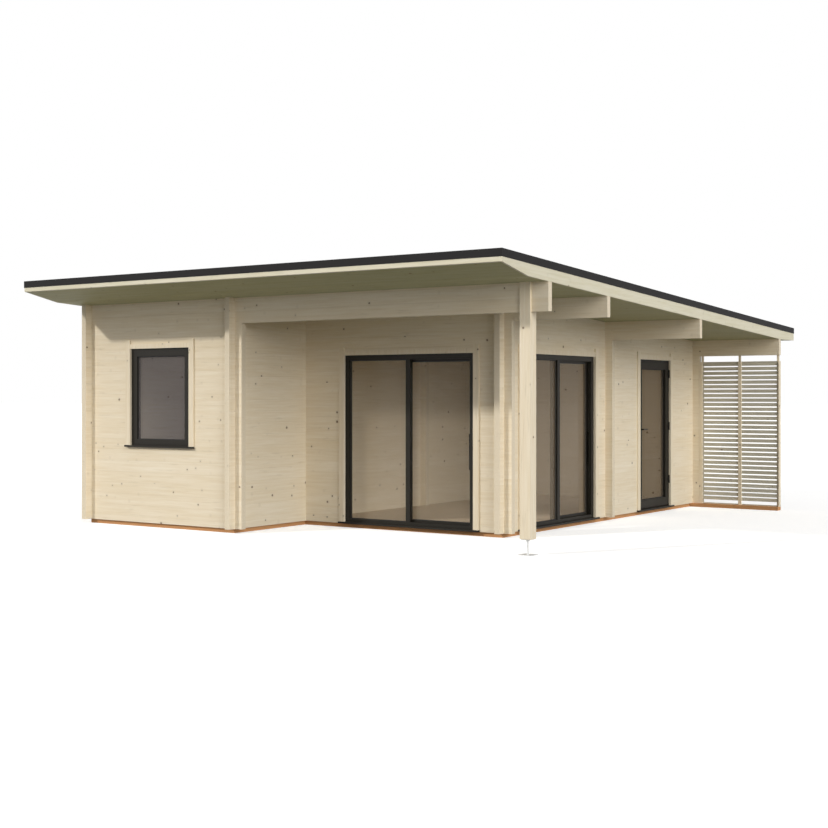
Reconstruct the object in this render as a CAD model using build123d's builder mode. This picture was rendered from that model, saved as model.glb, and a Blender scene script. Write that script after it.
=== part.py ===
"""Log summerhouse with a front recess, a covered side terrace and a low mono-pitch roof.

Millimetres. X runs along the front from the left wall to the terrace, Y runs from the
front to the back and Z is up. The origin is on the ground under the middle of the roof.
"""

from build123d import *
from math import radians, tan
import os

os.makedirs("parts", exist_ok=True)

# Plan of the cabin, measured on the outer faces of the log walls
CABIN_WIDTH = 5255
CABIN_LENGTH = 6660
SIDE_ROOM_WIDTH = 2441
RECESS_DEPTH = 1292
PARTITION_FROM_FRONT = 3799
TERRACE_WIDTH = 1264
STUB_WALL_LENGTH = 300

# Logs
LOG_THICKNESS = 70
LOG_HEIGHT = 135
LOG_END = 98
JOINT_BEVEL = 3

# Sill beams and floor
SILL_HEIGHT = 50
SILL_INSET = 30
SILL_WIDTH = 90
SCREEN_SILL_WIDTH = 120
FLOOR_THICKNESS = 20

# Roof
ROOF_PITCH = 2.94
EAVES_FRONT = 903
EAVES_BACK = 531
EAVES_LEFT = 114
EAVES_RIGHT = 7
SOFFIT_AT_FRONT_WALL = 2704
FRONT_EDGE_DEPTH = 124
TAPER_START = 397
BACK_LEVEL_START = 10
SOFFIT_THICKNESS = 18
RAFTER_HEIGHT = 151
RAFTER_WIDTH = 45
RAFTER_COUNT = 11
DECK_THICKNESS = 22
FELT_THICKNESS = 6
FASCIA_THICKNESS = 25
TRIM_THICKNESS = 4
TRIM_DROP = 78
TRIM_FLANGE = 70

# Courses where the purlins start, counted in whole logs above the first half log
FRONT_BEAM_COURSE = 17
RECESS_PURLIN_COURSE = 17
MIDDLE_PURLIN_COURSE = 16
BACK_PURLIN_COURSE = 15

# Terrace post and its adjustable foot
POST_SIZE = 120
POST_FROM_BEAM_END = 190
POST_BOTTOM = 160
FOOT_PLATE_SIZE = 150
FOOT_PLATE_THICKNESS = 6
FOOT_CAP_SIZE = 100
FOOT_ROD_RADIUS = 10
FOOT_NUT_RADIUS = 18
FOOT_NUT_HEIGHT = 18

# Openings, placed from the left or from the front of the cabin
WINDOW_FROM_LEFT = 758
WINDOW_WIDTH = 973
WINDOW_BOTTOM = 961
WINDOW_TOP = 2150
SLIDER_WIDTH = 1820
RECESS_SLIDER_FROM_LEFT = 3040
SIDE_SLIDER_FROM_FRONT = 1676
SIDE_DOOR_FROM_FRONT = 4803
SIDE_DOOR_WIDTH = 980
DOOR_HEAD = 2064

# Boards and metal sills round the openings
CASING_WIDTH = 75
CASING_THICKNESS = 20
CASING_RISE = 100
HEAD_CASING_HEIGHT = 55
HEAD_CASING_THICKNESS = 16
METAL_SILL_HEIGHT = 20
METAL_SILL_REACH = 40
FRAME_SET_BACK = 11

# Sliding doors
SLIDER_FACE = 60
SLIDER_HALF_DEPTH = 50
SLIDER_TRACK = 25
FIXED_STILE = 60
LEAF_THICKNESS = 46
LEAF_STILE = 54
LEAF_MEETING_STILE = 30
RUNNING_GAP = 5
ROLLER_LENGTH = 90
ROLLER_WIDTH = 20
SEAT_GAP = 0.3
GLASS_THICKNESS = 24
PULL_HEIGHT = 410
PULL_BOTTOM = 660
PULL_STAND_OFF = 28
PULL_WIDTH = 14
PULL_FROM_FRAME = 5

# Window
WINDOW_FRAME_FACE = 30
WINDOW_FRAME_DEPTH = 90
SASH_FACE = 64
SASH_DEPTH = 60
SASH_GAP = 3

# Hinged side door
JAMB_FACE = 25
JAMB_STOP = 50
DOOR_FRAME_DEPTH = 100
DOOR_LEAF_THICKNESS = 70
DOOR_GLASS_INSET = 40
DOOR_STILE = 82
DOOR_TOP_RAIL = 95
DOOR_BOTTOM_RAIL = 110
HINGE_PROUD = 10
HINGE_FROM_EDGE = 12
HINGE_RADIUS = 8
HINGE_PIN_RADIUS = 4
HINGE_CLEARANCE = 0.1
HINGE_HEIGHT = 108
HINGE_HEIGHTS = (330, 1060, 1776)
HINGE_FLAP = 34
HINGE_FLAP_THICKNESS = 3
LEVER_HEIGHT = 1055
LEVER_FROM_LEAF_EDGE = 41
LEVER_LENGTH = 125
LEVER_THICKNESS = 16
LEVER_STAND_OFF = 45
LEVER_NECK_RADIUS = 9
SPINDLE_RADIUS = 5
SPINDLE_CLEARANCE = 0.1
ROSE_WIDTH = 32
ROSE_HEIGHT = 220
ROSE_DROP = 15
ROSE_THICKNESS = 6

# Slatted screen at the back of the terrace
SCREEN_CLEARANCE = 3
SCREEN_POST_WIDTH = 26
SCREEN_POST_INSET = 30
SCREEN_BATTEN_WIDTH = 45
SCREEN_BATTEN_THICKNESS = 18
SCREEN_END_BOARD = 12
SCREEN_TOP = 2060
TOP_RAIL_HEIGHT = 60
BOTTOM_RAIL_HEIGHT = 16
SLAT_HEIGHT = 47
SLAT_GAP = 16
SLAT_COUNT = 30
SLAT_THICKNESS = 18

# Places worked out from the sizes above
ROOF_WIDTH = EAVES_LEFT + CABIN_WIDTH + TERRACE_WIDTH + EAVES_RIGHT
ROOF_LENGTH = EAVES_FRONT + CABIN_LENGTH + EAVES_BACK
HALF_LOG = LOG_THICKNESS / 2
roof_left = -ROOF_WIDTH / 2
roof_right = ROOF_WIDTH / 2
roof_front = -ROOF_LENGTH / 2
roof_back = ROOF_LENGTH / 2
left_face = roof_left + EAVES_LEFT
right_face = left_face + CABIN_WIDTH
middle_face = left_face + SIDE_ROOM_WIDTH
beam_end = right_face + TERRACE_WIDTH
front_face = roof_front + EAVES_FRONT
back_face = front_face + CABIN_LENGTH
recess_face = front_face + RECESS_DEPTH
left_line = left_face + HALF_LOG
middle_line = middle_face - HALF_LOG
right_line = right_face - HALF_LOG
front_line = front_face + HALF_LOG
recess_line = recess_face + HALF_LOG
partition_line = front_face + PARTITION_FROM_FRONT + HALF_LOG
back_line = back_face - HALF_LOG
slope = tan(radians(ROOF_PITCH))
deck_bottom = SOFFIT_THICKNESS + RAFTER_HEIGHT
deck_top = deck_bottom + DECK_THICKNESS
felt_top = deck_top + FELT_THICKNESS
build_up = felt_top + TRIM_THICKNESS

window_left = left_face + WINDOW_FROM_LEFT
window_right = window_left + WINDOW_WIDTH
recess_slider_left = left_face + RECESS_SLIDER_FROM_LEFT
recess_slider_right = recess_slider_left + SLIDER_WIDTH
recess_slider_middle = (recess_slider_left + recess_slider_right) / 2
side_slider_front = front_face + SIDE_SLIDER_FROM_FRONT
side_slider_back = side_slider_front + SLIDER_WIDTH
side_slider_middle = (side_slider_front + side_slider_back) / 2
side_door_front = front_face + SIDE_DOOR_FROM_FRONT
side_door_back = side_door_front + SIDE_DOOR_WIDTH
side_door_middle = (side_door_front + side_door_back) / 2


def soffit_height(y):
    """Return the height of the roof's underside over the walls at a place y."""
    return SOFFIT_AT_FRONT_WALL - slope * (y - front_face)


def course_height(course):
    """Return the bottom of a whole log in a wall along X, which starts with a half log."""
    return SILL_HEIGHT + LOG_HEIGHT / 2 + course * LOG_HEIGHT


def joints_between(low, high, first):
    """Return the heights of the log joints from low to high, given the first joint."""
    count = int((high - first) / LOG_HEIGHT) + 1
    heights = [first + number * LOG_HEIGHT for number in range(count)]
    return [height for height in heights if low <= height <= high]


def joints_along_x(low, high):
    """Return the log joints of a wall along X, which starts with a half log."""
    return joints_between(low, high, SILL_HEIGHT + LOG_HEIGHT / 2)


def joints_along_y(low, high):
    """Return the log joints of a wall along Y, which starts with a whole log."""
    return joints_between(low, high, SILL_HEIGHT)


def upright_rectangle(left, bottom, width, height, mode=Mode.ADD):
    """Draw a rectangle by its lower left corner."""
    with Locations((left, bottom)):
        Rectangle(width, height, align=Align.MIN, mode=mode)


def sloped_outline(start, end, low, top):
    """Draw the side of a log wall from its bottom up to a sloping or level top."""
    with BuildLine() as outline:
        Polyline((start, low), (end, low), (end, top(end)), (start, top(start)), close=True)
    make_face(outline.edges())


def log_notches(crossings, joints):
    """Cut the half-log notches of each crossing, given its place and where it starts."""
    for place, lowest in crossings:
        for joint in joints:
            if joint >= lowest:
                with Locations((place, joint)):
                    Rectangle(LOG_THICKNESS, LOG_HEIGHT / 2, mode=Mode.SUBTRACT)


def joint_grooves(face, joints, low, high):
    """Draw the bevels of the log joints that lie on a wall's outer face."""
    for joint in joints:
        if low < joint < high:
            with Locations((face, joint)):
                Rectangle(JOINT_BEVEL, JOINT_BEVEL, rotation=45)


def wall_along_x(line, spans, low, high, crossings, face=None):
    """Build the logs of a wall along X, notched at its crossings and grooved between them."""
    joints = joints_along_x(low - LOG_HEIGHT / 4, high + LOG_HEIGHT / 4)
    with BuildPart() as wall:
        with BuildSketch(Plane.XZ.offset(-line)):
            for start, end in spans:
                upright_rectangle(start, low, end - start, high - low)
            log_notches([(place, low - LOG_HEIGHT) for place in crossings], joints)
        extrude(amount=HALF_LOG, both=True)
        if face is not None:
            with BuildSketch(Plane.YZ.offset(crossings[0])):
                joint_grooves(face, joints, low, high)
            extrude(amount=crossings[-1] - crossings[0], mode=Mode.SUBTRACT)
    return wall


def wall_along_y(line, spans, low, top, crossings, face, grooves):
    """Build the logs of a wall along Y with its top given along it, grooved between two places."""
    high = top(spans[0][0])
    joints = joints_along_y(low - LOG_HEIGHT / 4, high + LOG_HEIGHT / 4)
    with BuildPart() as wall:
        with BuildSketch(Plane.YZ.offset(line)):
            for start, end in spans:
                sloped_outline(start, end, low, top)
            log_notches(crossings, joints)
        extrude(amount=HALF_LOG, both=True)
        with BuildSketch(Plane.XZ.offset(-grooves[0])):
            joint_grooves(face, joints, low, high)
        extrude(amount=grooves[0] - grooves[1], mode=Mode.SUBTRACT)
    return wall


def finish(builder, name):
    """Label a finished piece and write it as its own STEP file."""
    builder.part.label = name
    export_step(builder.part, f"parts/{name}.step")


# Sill beams under the walls and the screen, halved together at the corners
def beam_along_x(start, end, front, width=SILL_WIDTH):
    """Lay a sill beam along X whose front side is at front."""
    with Locations((start, front, 0)):
        Box(end - start, width, SILL_HEIGHT, align=Align.MIN)


def beam_along_y(start, end, left):
    """Lay a sill beam along Y whose left side is at left."""
    with Locations((left, start, 0)):
        Box(SILL_WIDTH, end - start, SILL_HEIGHT, align=Align.MIN)


sill_left = left_face + SILL_INSET
sill_right = right_face - SILL_INSET
sill_middle = middle_face - SILL_INSET
sill_front = front_face + SILL_INSET
sill_recess = recess_face + SILL_INSET
sill_back = back_face - SILL_INSET
with BuildPart() as sill_beams:
    beam_along_x(sill_left, sill_middle, sill_front)
    beam_along_x(sill_middle - SILL_WIDTH, sill_right, sill_recess)
    beam_along_x(sill_left, sill_middle, partition_line - SILL_WIDTH / 2)
    beam_along_x(sill_left, sill_right, sill_back - SILL_WIDTH)
    beam_along_x(sill_right, beam_end, back_face - SCREEN_SILL_WIDTH, SCREEN_SILL_WIDTH)
    beam_along_y(sill_front, sill_back, sill_left)
    beam_along_y(sill_front, sill_back, sill_middle - SILL_WIDTH)
    beam_along_y(sill_recess, sill_back, sill_right - SILL_WIDTH)
finish(sill_beams, "sill_beams")


# Floors between the log walls, cut round the door frames and the log ends
def floor_board(left, right, front, back):
    """Lay the floor of one room."""
    with Locations((left, front, SILL_HEIGHT)):
        Box(right - left, back - front, FLOOR_THICKNESS, align=Align.MIN)


def floor_cut(x, y, width, length):
    """Cut the floor round a frame or a log end, given its middle and size."""
    with Locations((x, y, SILL_HEIGHT + FLOOR_THICKNESS / 2)):
        Box(width, length, 2 * FLOOR_THICKNESS, mode=Mode.SUBTRACT)


inner_left = left_face + LOG_THICKNESS
inner_right = right_face - LOG_THICKNESS
inner_back = back_face - LOG_THICKNESS
slider_depth = FRAME_SET_BACK + SLIDER_HALF_DEPTH + LEAF_THICKNESS + 2 * RUNNING_GAP
door_frame_depth = FRAME_SET_BACK + DOOR_FRAME_DEPTH
with BuildPart() as main_floor:
    floor_board(middle_face, inner_right, recess_face + LOG_THICKNESS, inner_back)
    floor_cut(middle_face, partition_line, 2 * LOG_END, LOG_THICKNESS)
    floor_cut(inner_right, partition_line, 2 * STUB_WALL_LENGTH, LOG_THICKNESS)
    floor_cut(recess_slider_middle, recess_face, SLIDER_WIDTH, 2 * slider_depth)
    floor_cut(right_face, side_slider_middle, 2 * slider_depth, SLIDER_WIDTH)
    floor_cut(right_face, side_door_middle, 2 * door_frame_depth, SIDE_DOOR_WIDTH)
finish(main_floor, "main_floor")

side_room_right = middle_face - LOG_THICKNESS
with BuildPart() as side_floors:
    floor_board(
        inner_left,
        side_room_right,
        front_face + LOG_THICKNESS,
        partition_line - HALF_LOG,
    )
    floor_board(inner_left, side_room_right, partition_line + HALF_LOG, inner_back)
finish(side_floors, "side_floors")

# Front wall with the window, built up in courses below, beside and above it
front_start = left_face - LOG_END
front_end = middle_face + LOG_END
front_beam_bottom = course_height(FRONT_BEAM_COURSE)
side_room_walls = (left_line, middle_line)
front_wall_lower = wall_along_x(
    front_line,
    [(front_start, front_end)],
    SILL_HEIGHT,
    WINDOW_BOTTOM,
    side_room_walls,
    front_face,
)
finish(front_wall_lower, "front_wall_lower")
front_wall_piers = wall_along_x(
    front_line,
    [(front_start, window_left), (window_right, front_end)],
    WINDOW_BOTTOM,
    WINDOW_TOP,
    side_room_walls,
    front_face,
)
finish(front_wall_piers, "front_wall_piers")
front_wall_upper = wall_along_x(
    front_line,
    [(front_start, front_end)],
    WINDOW_TOP,
    front_beam_bottom,
    side_room_walls,
    front_face,
)
finish(front_wall_upper, "front_wall_upper")

# Recess wall beside and over its sliding door
recess_start = middle_face - LOG_THICKNESS
recess_end = right_face + LOG_END
recess_purlin_bottom = course_height(RECESS_PURLIN_COURSE)
main_room_walls = (middle_line, right_line)
recess_wall_piers = wall_along_x(
    recess_line,
    [(recess_start, recess_slider_left), (recess_slider_right, recess_end)],
    SILL_HEIGHT,
    DOOR_HEAD,
    main_room_walls,
    recess_face,
)
finish(recess_wall_piers, "recess_wall_piers")
recess_wall_head = wall_along_x(
    recess_line,
    [(recess_start, recess_end)],
    DOOR_HEAD,
    recess_purlin_bottom,
    main_room_walls,
    recess_face,
)
finish(recess_wall_head, "recess_wall_head")

# Partition of the side rooms, and the short wall that carries the middle purlin at the right
all_walls = (left_line, middle_line, right_line)
stub_start = inner_right - STUB_WALL_LENGTH
middle_purlin_bottom = course_height(MIDDLE_PURLIN_COURSE)
partition_walls = wall_along_x(
    partition_line,
    [(front_start, front_end), (stub_start, recess_end)],
    SILL_HEIGHT,
    middle_purlin_bottom,
    all_walls,
)
finish(partition_walls, "partition_walls")

back_purlin_bottom = course_height(BACK_PURLIN_COURSE)
back_wall = wall_along_x(
    back_line,
    [(front_start, recess_end)],
    SILL_HEIGHT,
    back_purlin_bottom,
    all_walls,
    back_face,
)
finish(back_wall, "back_wall")

# Walls along Y, cut to the slope of the roof
y_start = front_face - LOG_END
y_end = back_face + LOG_END
left_wall = wall_along_y(
    left_line,
    [(y_start, y_end)],
    SILL_HEIGHT,
    soffit_height,
    [
        (front_line, SILL_HEIGHT),
        (recess_line, recess_purlin_bottom),
        (partition_line, SILL_HEIGHT),
        (back_line, SILL_HEIGHT),
    ],
    left_face,
    (front_line, back_line),
)
finish(left_wall, "left_wall")

right_wall_crossings = [(place, 0) for place in (recess_line, partition_line, back_line)]
middle_wall = wall_along_y(
    middle_line,
    [(y_start, y_end)],
    SILL_HEIGHT,
    soffit_height,
    [(front_line, 0), *right_wall_crossings],
    middle_face,
    (front_line, recess_line),
)
finish(middle_wall, "middle_wall")


def door_head(y):
    """Return the level top of the wall pieces beside the doors."""
    return DOOR_HEAD


right_wall_start = recess_face - LOG_END
right_wall_piers = wall_along_y(
    right_line,
    [
        (right_wall_start, side_slider_front),
        (side_slider_back, side_door_front),
        (side_door_back, y_end),
    ],
    SILL_HEIGHT,
    door_head,
    right_wall_crossings,
    right_face,
    (recess_line, back_line),
)
finish(right_wall_piers, "right_wall_piers")
right_wall_head = wall_along_y(
    right_line,
    [(right_wall_start, y_end)],
    DOOR_HEAD,
    soffit_height,
    right_wall_crossings,
    right_face,
    (recess_line, back_line),
)
finish(right_wall_head, "right_wall_head")


# Beam over the terrace front and the purlins, which are the top logs of the walls along X
def purlin(line, bottom, walls):
    """Build one purlin from the left eaves to the end of the terrace, its top on the slope."""
    top = soffit_height(line)
    joints = joints_along_x(bottom - LOG_HEIGHT / 4, top + LOG_HEIGHT / 4)
    with BuildPart() as piece:
        with BuildSketch(Plane.YZ.offset(front_start)):
            sloped_outline(line - HALF_LOG, line + HALF_LOG, bottom, soffit_height)
            with Locations(*[(line - HALF_LOG, joint) for joint in joints if bottom < joint < top]):
                Rectangle(JOINT_BEVEL, JOINT_BEVEL, rotation=45, mode=Mode.SUBTRACT)
        extrude(amount=beam_end - front_start)
        with Locations(*[(wall, line, joint) for wall in walls for joint in joints]):
            Box(LOG_THICKNESS, LOG_THICKNESS, LOG_HEIGHT / 2, mode=Mode.SUBTRACT)
    return piece


front_beam = purlin(front_line, front_beam_bottom, side_room_walls)
finish(front_beam, "front_beam")
recess_purlin = purlin(recess_line, recess_purlin_bottom, all_walls)
finish(recess_purlin, "recess_purlin")
middle_purlin = purlin(partition_line, middle_purlin_bottom, all_walls)
finish(middle_purlin, "middle_purlin")
back_purlin = purlin(back_line, back_purlin_bottom, all_walls)
finish(back_purlin, "back_purlin")

# Terrace post, forked at the top so that the front beam lies in its slot
post_x = beam_end - POST_FROM_BEAM_END - POST_SIZE / 2
post_front = front_line - POST_SIZE / 2
with BuildPart() as terrace_post:
    with BuildSketch(Plane.YZ.offset(post_x)):
        sloped_outline(post_front, post_front + POST_SIZE, POST_BOTTOM, soffit_height)
        upright_rectangle(
            front_face,
            front_beam_bottom,
            LOG_THICKNESS,
            SOFFIT_AT_FRONT_WALL,
            mode=Mode.SUBTRACT,
        )
    extrude(amount=POST_SIZE / 2, both=True)
finish(terrace_post, "terrace_post")

standing = (Align.CENTER, Align.CENTER, Align.MIN)
with BuildPart() as post_foot:
    with Locations((post_x, front_line, 0)):
        Box(FOOT_PLATE_SIZE, FOOT_PLATE_SIZE, FOOT_PLATE_THICKNESS, align=standing)
        Cylinder(FOOT_ROD_RADIUS, POST_BOTTOM, align=standing)
    with Locations((post_x, front_line, POST_BOTTOM - FOOT_PLATE_THICKNESS)):
        Box(FOOT_CAP_SIZE, FOOT_CAP_SIZE, FOOT_PLATE_THICKNESS, align=standing)
    with BuildSketch(Plane.XY.offset(POST_BOTTOM - FOOT_PLATE_THICKNESS)):
        with Locations((post_x, front_line)):
            RegularPolygon(FOOT_NUT_RADIUS, 6)
    extrude(amount=-FOOT_NUT_HEIGHT)
finish(post_foot, "post_foot")

# Roof built up in layers on the purlins
core_left = roof_left + TRIM_THICKNESS + FASCIA_THICKNESS
core_right = roof_right - TRIM_THICKNESS - FASCIA_THICKNESS
core_front = roof_front + TRIM_THICKNESS + FASCIA_THICKNESS
core_back = roof_back - TRIM_THICKNESS - FASCIA_THICKNESS
skin_left = roof_left + TRIM_THICKNESS
skin_right = roof_right - TRIM_THICKNESS
skin_front = roof_front + TRIM_THICKNESS
skin_back = roof_back - TRIM_THICKNESS
taper_y = front_face - TAPER_START
level_y = back_face - BACK_LEVEL_START
level_height = soffit_height(level_y)


def underside_height(y):
    """Return the height of the roof's underside, tapered at the front and level at the back."""
    if y > level_y:
        return level_height
    if y > taper_y:
        return soffit_height(y)
    edge = soffit_height(roof_front) + build_up - FRONT_EDGE_DEPTH
    taper = (soffit_height(taper_y) - edge) / (taper_y - roof_front)
    return edge + taper * (y - roof_front)


def under_layer(front, back, low, high=None, lift=None):
    """Draw the side of a layer on the underside, up to an equal lift or to the roof's slope."""
    places = [front, *[y for y in (taper_y, level_y) if front < y < back], back]
    with BuildLine() as outline:
        lower = [(y, underside_height(y) + low) for y in places]
        if lift is None:
            upper = [(y, soffit_height(y) + high) for y in (front, back)]
        else:
            upper = [(y, underside_height(y) + lift) for y in places]
        Polyline(*lower, *reversed(upper), close=True)
    make_face(outline.edges())


with BuildPart() as soffit:
    with BuildSketch(Plane.YZ.offset(core_left)):
        under_layer(core_front, core_back, 0, lift=SOFFIT_THICKNESS)
    extrude(amount=core_right - core_left)
finish(soffit, "soffit")

rafter_step = (core_right - core_left - RAFTER_WIDTH) / (RAFTER_COUNT - 1)
with BuildPart() as rafters:
    for number in range(RAFTER_COUNT):
        with BuildSketch(Plane.YZ.offset(core_left + number * rafter_step)):
            under_layer(core_front, core_back, SOFFIT_THICKNESS, high=deck_bottom)
        extrude(amount=RAFTER_WIDTH)
finish(rafters, "rafters")


def sloping_sheet(left, right, front, back, low, high, mode=Mode.ADD):
    """Build a flat sheet that follows the roof between two lifts."""
    with BuildSketch(Plane.YZ.offset(left)) as side:
        with BuildLine():
            Polyline(
                (front, soffit_height(front) + low),
                (back, soffit_height(back) + low),
                (back, soffit_height(back) + high),
                (front, soffit_height(front) + high),
                close=True,
            )
        make_face()
    extrude(side.sketch, amount=right - left, mode=mode)


with BuildPart() as roof_deck:
    sloping_sheet(core_left, core_right, core_front, core_back, deck_bottom, deck_top)
finish(roof_deck, "roof_deck")

with BuildPart() as roof_felt:
    sloping_sheet(skin_left, skin_right, skin_front, skin_back, deck_top, felt_top)
finish(roof_felt, "roof_felt")

with BuildPart() as verge_boards:
    for start in (skin_left, core_right):
        with BuildSketch(Plane.YZ.offset(start)):
            under_layer(skin_front, skin_back, 0, high=deck_top)
        extrude(amount=FASCIA_THICKNESS)
finish(verge_boards, "verge_boards")

with BuildPart() as eaves_boards:
    for front, back in ((skin_front, core_front), (core_back, skin_back)):
        with BuildSketch(Plane.YZ.offset(core_left)):
            under_layer(front, back, 0, high=deck_top)
        extrude(amount=core_right - core_left)
finish(eaves_boards, "eaves_boards")

with BuildPart() as roof_edge_trim:
    sloping_sheet(roof_left, roof_right, roof_front, roof_back, build_up - TRIM_DROP, build_up)
    sloping_sheet(skin_left, skin_right, skin_front, skin_back, 0, felt_top, Mode.SUBTRACT)
    sloping_sheet(
        roof_left + TRIM_FLANGE,
        roof_right - TRIM_FLANGE,
        roof_front + TRIM_FLANGE,
        roof_back - TRIM_FLANGE,
        0,
        2 * build_up,
        Mode.SUBTRACT,
    )
finish(roof_edge_trim, "roof_edge_trim")

# Planes on the wall faces, at the middle of each opening on the sill, looking outward
window_plane = Plane(
    origin=((window_left + window_right) / 2, front_face, WINDOW_BOTTOM),
    x_dir=(1, 0, 0),
    z_dir=(0, -1, 0),
)
recess_slider_plane = Plane(
    origin=(recess_slider_middle, recess_face, SILL_HEIGHT),
    x_dir=(1, 0, 0),
    z_dir=(0, -1, 0),
)
side_slider_plane = Plane(
    origin=(right_face, side_slider_middle, SILL_HEIGHT),
    x_dir=(0, 1, 0),
    z_dir=(1, 0, 0),
)
side_door_plane = Plane(
    origin=(right_face, side_door_middle, SILL_HEIGHT),
    x_dir=(0, 1, 0),
    z_dir=(1, 0, 0),
)
door_height = DOOR_HEAD - SILL_HEIGHT
window_height = WINDOW_TOP - WINDOW_BOTTOM
openings = (
    (window_plane, WINDOW_WIDTH, window_height),
    (recess_slider_plane, SLIDER_WIDTH, door_height),
    (side_slider_plane, SLIDER_WIDTH, door_height),
    (side_door_plane, SIDE_DOOR_WIDTH, door_height),
)

# Casing boards beside and over the openings
with BuildPart() as casings:
    for plane, width, height in openings:
        casing_height = height + CASING_RISE - METAL_SILL_HEIGHT
        with BuildSketch(plane):
            for left in (-width / 2 - CASING_WIDTH, width / 2):
                upright_rectangle(left, METAL_SILL_HEIGHT, CASING_WIDTH, casing_height)
        extrude(amount=CASING_THICKNESS)
        with BuildSketch(plane):
            upright_rectangle(-width / 2, height, width, HEAD_CASING_HEIGHT)
        extrude(amount=HEAD_CASING_THICKNESS)
finish(casings, "casings")

# Black metal sills from casing to casing
with BuildPart() as metal_sills:
    for plane, width, height in openings:
        sill_width = width + 2 * CASING_WIDTH
        with BuildSketch(plane):
            upright_rectangle(-sill_width / 2, 0, sill_width, METAL_SILL_HEIGHT)
        extrude(amount=METAL_SILL_REACH)
        with BuildSketch(plane):
            upright_rectangle(-width / 2, 0, width, METAL_SILL_HEIGHT)
        extrude(amount=-FRAME_SET_BACK)
finish(metal_sills, "metal_sills")


def ring(width, height, side, bottom, top):
    """Draw a frame by its outer size and the widths of its members."""
    upright_rectangle(-width / 2, 0, width, height)
    upright_rectangle(
        -width / 2 + side,
        bottom,
        width - 2 * side,
        height - bottom - top,
        mode=Mode.SUBTRACT,
    )


# Window: frame in the wall, sash in the frame
window_frame_plane = window_plane.offset(-FRAME_SET_BACK)
with BuildPart() as window_frame:
    with BuildSketch(window_frame_plane):
        ring(WINDOW_WIDTH, window_height, WINDOW_FRAME_FACE, WINDOW_FRAME_FACE, WINDOW_FRAME_FACE)
    extrude(amount=-WINDOW_FRAME_DEPTH)
finish(window_frame, "window_frame")

sash_width = WINDOW_WIDTH - 2 * WINDOW_FRAME_FACE
sash_height = window_height - 2 * WINDOW_FRAME_FACE
sash_plane = Plane(
    origin=window_frame_plane.from_local_coords((0, WINDOW_FRAME_FACE, -SASH_GAP)),
    x_dir=window_frame_plane.x_dir,
    z_dir=window_frame_plane.z_dir,
)
with BuildPart() as window_sash:
    with BuildSketch(sash_plane):
        ring(sash_width, sash_height, SASH_FACE, SASH_FACE, SASH_FACE)
    extrude(amount=-SASH_DEPTH)
finish(window_sash, "window_sash")

# Sliding doors: a fixed pane in the outer half of the frame and a leaf on a track behind it.
# Both leaves close to the right, seen from outside.
pane_height = door_height - 2 * SLIDER_FACE


def slider_frame(plane):
    """Build the frame of a sliding door with its fixed meeting stile."""
    face = plane.offset(-FRAME_SET_BACK)
    with BuildPart() as piece:
        with BuildSketch(face):
            ring(SLIDER_WIDTH, door_height, SLIDER_FACE, SLIDER_FACE, SLIDER_FACE)
            upright_rectangle(-FIXED_STILE / 2, SLIDER_FACE, FIXED_STILE, pane_height)
        extrude(amount=-SLIDER_HALF_DEPTH)
        with BuildSketch(face.offset(-SLIDER_HALF_DEPTH)):
            ring(SLIDER_WIDTH, door_height, SLIDER_TRACK, SLIDER_TRACK, SLIDER_TRACK)
        extrude(amount=-LEAF_THICKNESS - 2 * RUNNING_GAP)
    return piece


leaf_left = -FIXED_STILE / 2
leaf_right = SLIDER_WIDTH / 2 - SLIDER_TRACK - RUNNING_GAP
leaf_bottom = SLIDER_TRACK + RUNNING_GAP
leaf_height = door_height - 2 * leaf_bottom
leaf_depth = FRAME_SET_BACK + SLIDER_HALF_DEPTH + RUNNING_GAP
leaf_glass_left = leaf_left + LEAF_MEETING_STILE
leaf_glass_width = leaf_right - LEAF_STILE - leaf_glass_left
leaf_glass_height = leaf_height - 2 * LEAF_STILE
pull_x = SLIDER_WIDTH / 2 - SLIDER_FACE - PULL_FROM_FRAME - PULL_WIDTH / 2


def leaf_plane(plane):
    """Return the plane on the outer face of a sliding leaf, at its bottom."""
    return Plane(
        origin=plane.from_local_coords((0, leaf_bottom, -leaf_depth)),
        x_dir=plane.x_dir,
        z_dir=plane.z_dir,
    )


def slider_leaf(plane):
    """Build a sliding leaf with its rollers below and its pull handle outside."""
    face = leaf_plane(plane)
    with BuildPart() as piece:
        with BuildSketch(face):
            upright_rectangle(leaf_left, 0, leaf_right - leaf_left, leaf_height)
            upright_rectangle(
                leaf_glass_left,
                LEAF_STILE,
                leaf_glass_width,
                leaf_glass_height,
                mode=Mode.SUBTRACT,
            )
        extrude(amount=-LEAF_THICKNESS)
        with BuildSketch(face.offset(-LEAF_THICKNESS / 2)):
            for middle in (leaf_left + ROLLER_LENGTH, leaf_right - ROLLER_LENGTH):
                with Locations((middle, 0)):
                    Rectangle(
                        ROLLER_LENGTH,
                        RUNNING_GAP - SEAT_GAP,
                        align=(Align.CENTER, Align.MAX),
                    )
        extrude(amount=ROLLER_WIDTH / 2, both=True)
        with BuildSketch(face):
            for low in (PULL_BOTTOM, PULL_BOTTOM + PULL_HEIGHT - PULL_WIDTH):
                with Locations((pull_x, low)):
                    Rectangle(PULL_WIDTH, PULL_WIDTH, align=(Align.CENTER, Align.MIN))
        extrude(amount=PULL_STAND_OFF)
        with BuildSketch(face.offset(PULL_STAND_OFF)):
            with Locations((pull_x, PULL_BOTTOM)):
                Rectangle(PULL_WIDTH, PULL_HEIGHT, align=(Align.CENTER, Align.MIN))
        extrude(amount=PULL_WIDTH)
    return piece


def leaf_glass(plane):
    """Build the pane of a sliding leaf."""
    with BuildPart() as piece:
        with BuildSketch(leaf_plane(plane).offset(-(LEAF_THICKNESS - GLASS_THICKNESS) / 2)):
            upright_rectangle(leaf_glass_left, LEAF_STILE, leaf_glass_width, leaf_glass_height)
        extrude(amount=-GLASS_THICKNESS)
    return piece


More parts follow.
